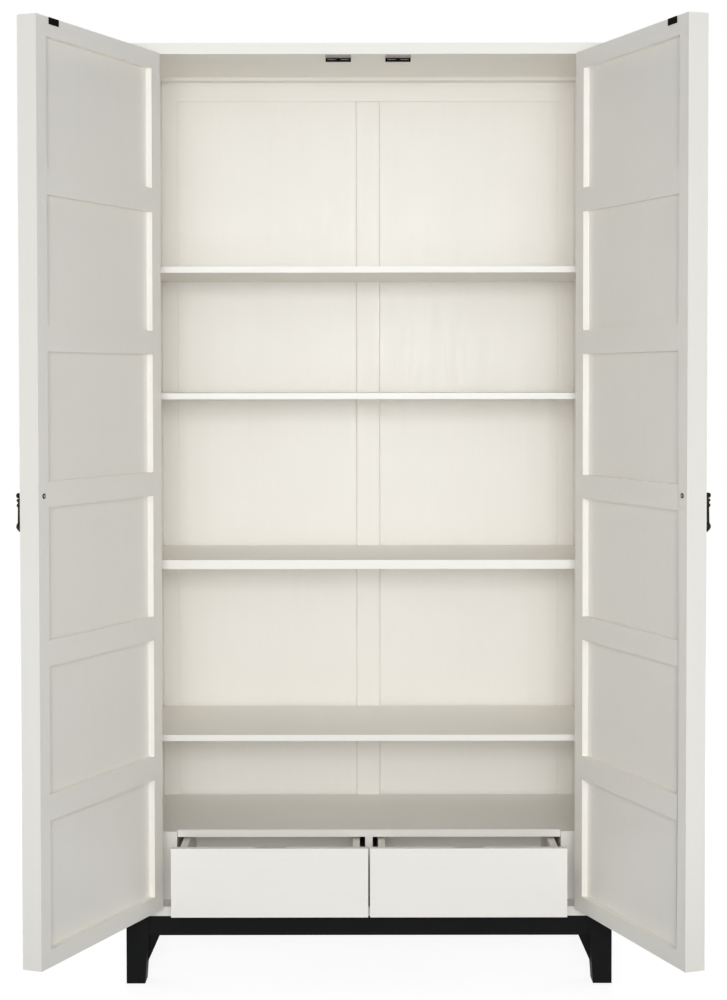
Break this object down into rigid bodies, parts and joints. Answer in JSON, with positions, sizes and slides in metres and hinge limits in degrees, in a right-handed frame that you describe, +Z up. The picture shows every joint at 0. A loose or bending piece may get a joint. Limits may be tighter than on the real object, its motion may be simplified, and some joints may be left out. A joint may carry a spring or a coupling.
{
  "type": "armoire",
  "caption": "Tall painted armoire with two frame-and-panel doors standing open, shelves inside, shallow drawers pulled part way out below them, and a dark footed base.",
  "frame": {"origin": "on the floor, at the middle of the front edge of the case", "axes": "+X to the right across the front, +Y from the front edge into the case, +Z up"},
  "size_m": [1.4184, 0.997, 2.15],
  "materials": {
    "paint": "satin off-white paint",
    "base_paint": "satin near-black paint",
    "brass": "dark antique",
    "steel": "satin",
    "black_metal": "satin black"
  },
  "bodies": {
    "case": {"leg_front_left": "base_paint", "leg_front_right": "base_paint", "leg_back_left": "base_paint", "leg_back_right": "base_paint", "apron_front": "base_paint", "apron_back": "base_paint", "aprons_side": "base_paint", "corner_brackets": "base_paint", "bottom_board": "paint", "top_board": "paint", "side_left": "paint", "side_right": "paint", "back_top_rail": "paint", "back_bottom_rail": "paint", "back_centre_stile": "paint", "back_outer_stiles": "paint", "back_panel_left": "paint", "back_panel_right": "paint", "shelf_1": "paint", "shelf_2": "paint", "shelf_3": "paint", "shelf_4": "paint", "shelf_pins": "steel", "drawer_deck": "paint", "drawer_divider": "paint", "drawer_fillers": "paint", "drawer_partitions": "paint", "runners_fixed": "steel", "hinge_leaves_case": "steel", "hinge_pins": "steel", "catches": "black_metal"},
    "door_left": {"hinge_stile_left": "paint", "lock_stile_left": "paint", "rails_left": "paint", "panels_left": "paint", "hinge_leaves_left": "steel", "strike_left": "black_metal", "pull_plate_left": "brass", "pull_screw_left": "brass"},
    "door_right": {"hinge_stile_right": "paint", "lock_stile_right": "paint", "rails_right": "paint", "panels_right": "paint", "hinge_leaves_right": "steel", "strike_right": "black_metal", "pull_plate_right": "brass", "pull_screw_right": "brass"},
    "drawer_left": {"drawer_front_left": "paint", "drawer_sides_left": "paint", "drawer_back_left": "paint", "drawer_bottom_left": "paint", "runners_moving_left": "steel"},
    "drawer_right": {"drawer_front_right": "paint", "drawer_sides_right": "paint", "drawer_back_right": "paint", "drawer_bottom_right": "paint", "runners_moving_right": "steel"},
    "pull_left": {"pull_drop_left": "brass"},
    "pull_right": {"pull_drop_right": "brass"}
  },
  "joints": [
    {"name": "door_left_hinge", "type": "hinge", "parent": "case", "child": "door_left", "pos_m": [-0.516, -0.006, 1.152], "axis": [0, 0, -1], "range_deg": [-112.8, 67.2]},
    {"name": "door_right_hinge", "type": "hinge", "parent": "case", "child": "door_right", "pos_m": [0.516, -0.006, 1.152], "axis": [0, 0, 1], "range_deg": [-109.7, 70.3]},
    {"name": "drawer_left_slide", "type": "slide", "parent": "case", "child": "drawer_left", "axis": [0, -1, 0], "range_m": [-0.16, 0.105]},
    {"name": "drawer_right_slide", "type": "slide", "parent": "case", "child": "drawer_right", "axis": [0, -1, 0], "range_m": [-0.16, 0.105]},
    {"name": "pull_left_swing", "type": "hinge", "parent": "door_left", "child": "pull_left", "pos_m": [-0.71371, -0.4593, 1.1505], "axis": [0.3875, 0.9219, 0], "range_deg": [0, 75]},
    {"name": "pull_right_swing", "type": "hinge", "parent": "door_right", "child": "pull_right", "pos_m": [0.68891, -0.46933, 1.1505], "axis": [0.3371, -0.9415, 0], "range_deg": [0, 75]}
  ],
  "couplings": [
    {"joint": "drawer_left_slide", "follows": "door_left_hinge", "m_per_rad": 0.0812},
    {"joint": "drawer_right_slide", "follows": "door_right_hinge", "m_per_rad": 0.0835}
  ]
}
